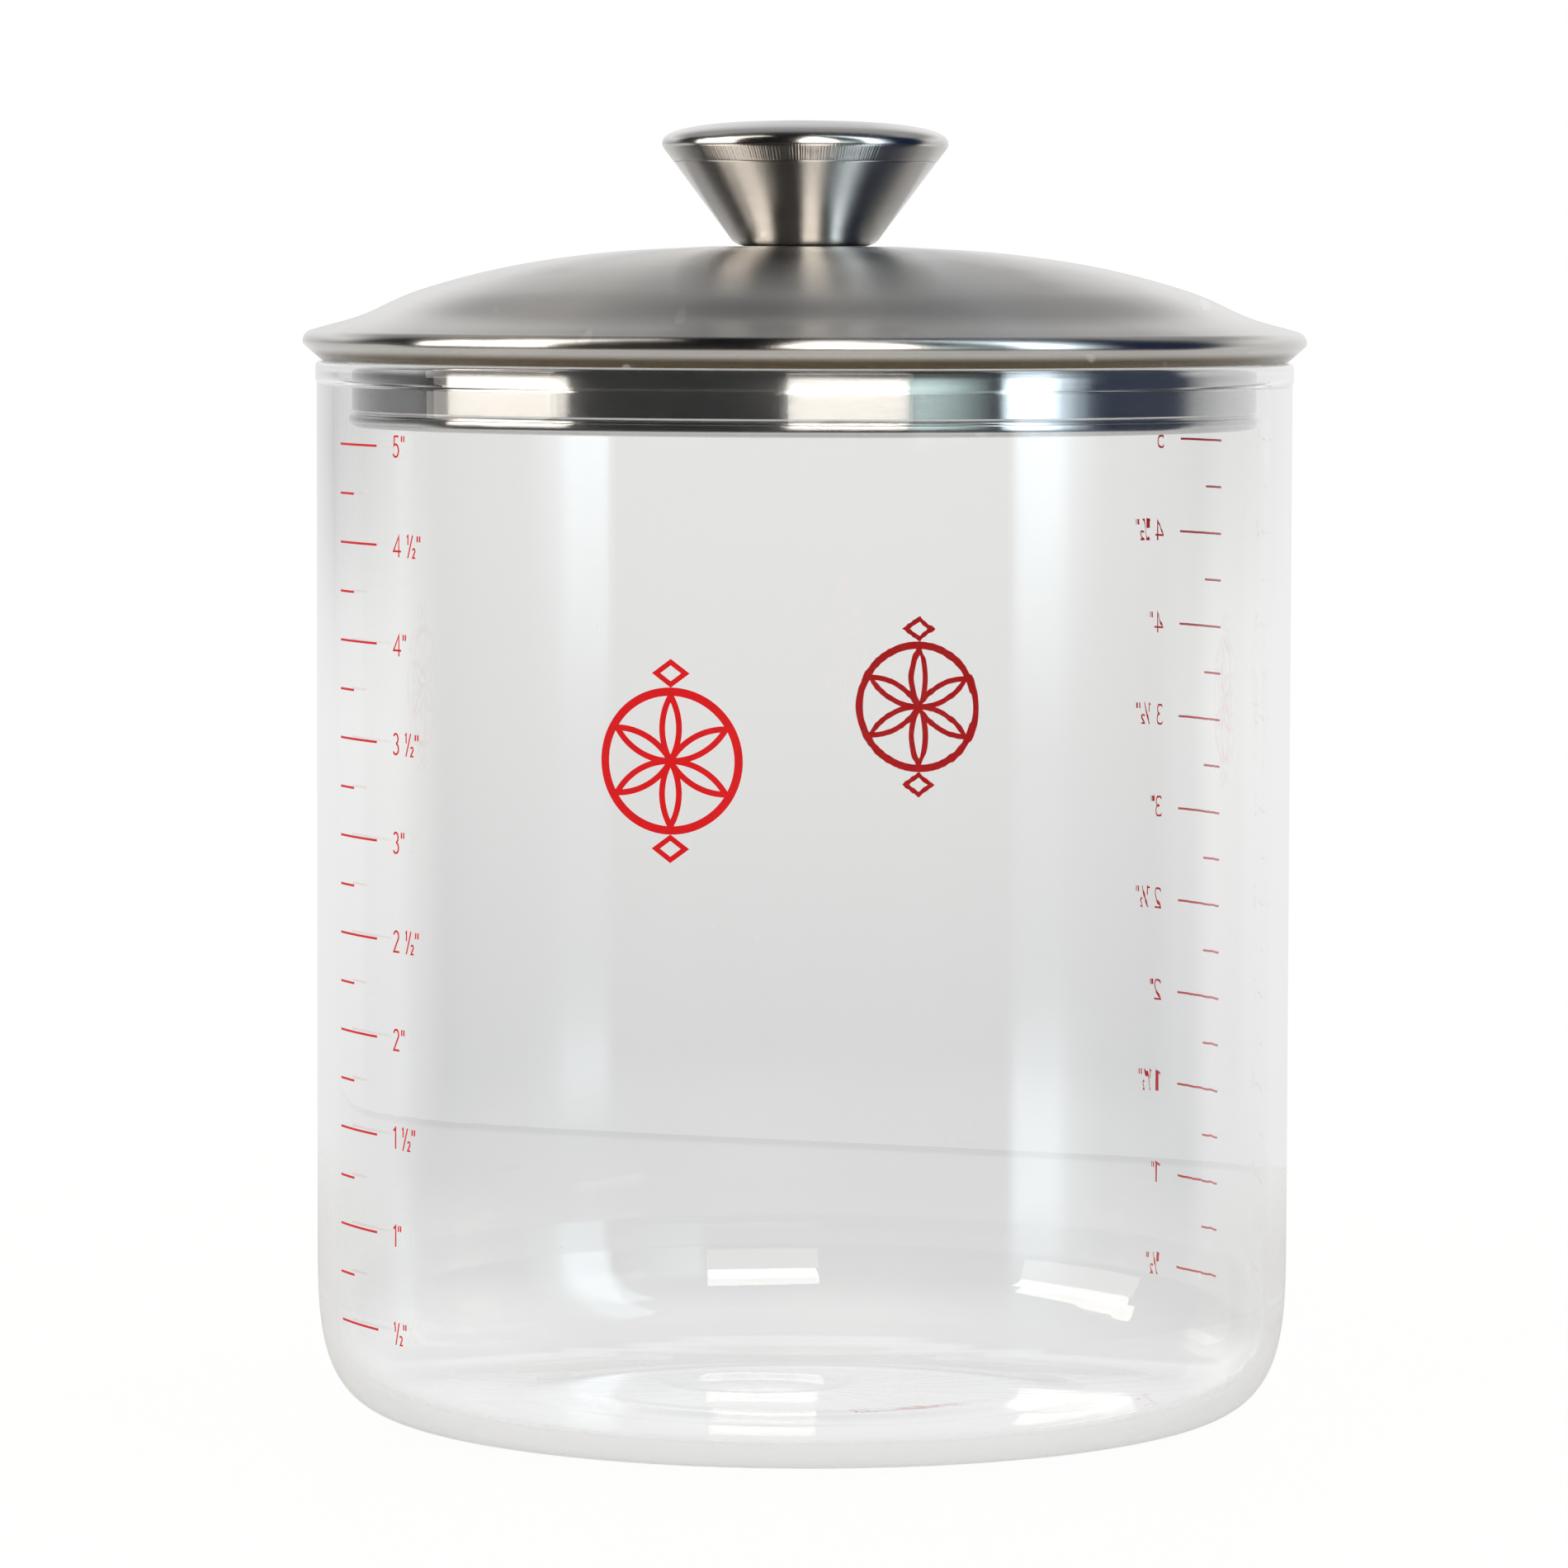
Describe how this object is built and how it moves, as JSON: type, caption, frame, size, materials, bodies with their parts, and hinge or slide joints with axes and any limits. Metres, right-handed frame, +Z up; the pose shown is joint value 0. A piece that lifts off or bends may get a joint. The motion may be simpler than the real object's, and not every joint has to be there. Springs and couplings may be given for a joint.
{
  "type": "glass crock",
  "caption": "Straight-sided clear glass crock with a soft heel, and a lift-off domed steel lid with a conical knob and an inner skirt.",
  "frame": {"origin": "on the table, under the middle of the crock, level with the ring it stands on", "axes": "+Z up along the crock's axis; the printed scale that reads from the front lies to the left of -Y"},
  "size_m": [0.1328, 0.1328, 0.1716],
  "materials": {
    "clear_glass": "clear, fire-polished",
    "brushed_steel": "fine brushed",
    "bright_steel": "bright drawn",
    "plated_steel": "zinc plated",
    "bush_brass": "turned",
    "red_ink": "fired ceramic ink on the glass"
  },
  "bodies": {
    "crock": {"glass_crock": "clear_glass"},
    "lid": {"lid_dome": "brushed_steel", "lid_skirt": "bright_steel", "knob_body": "brushed_steel", "knob_cap": "brushed_steel", "knob_bush": "bush_brass", "knob_screw": "plated_steel", "lock_washer": "plated_steel"}
  },
  "joints": [
    {"name": "lid_lift", "type": "slide", "parent": "crock", "child": "lid", "axis": [0, 0, 1], "range_m": [0, 0.08]}
  ]
}
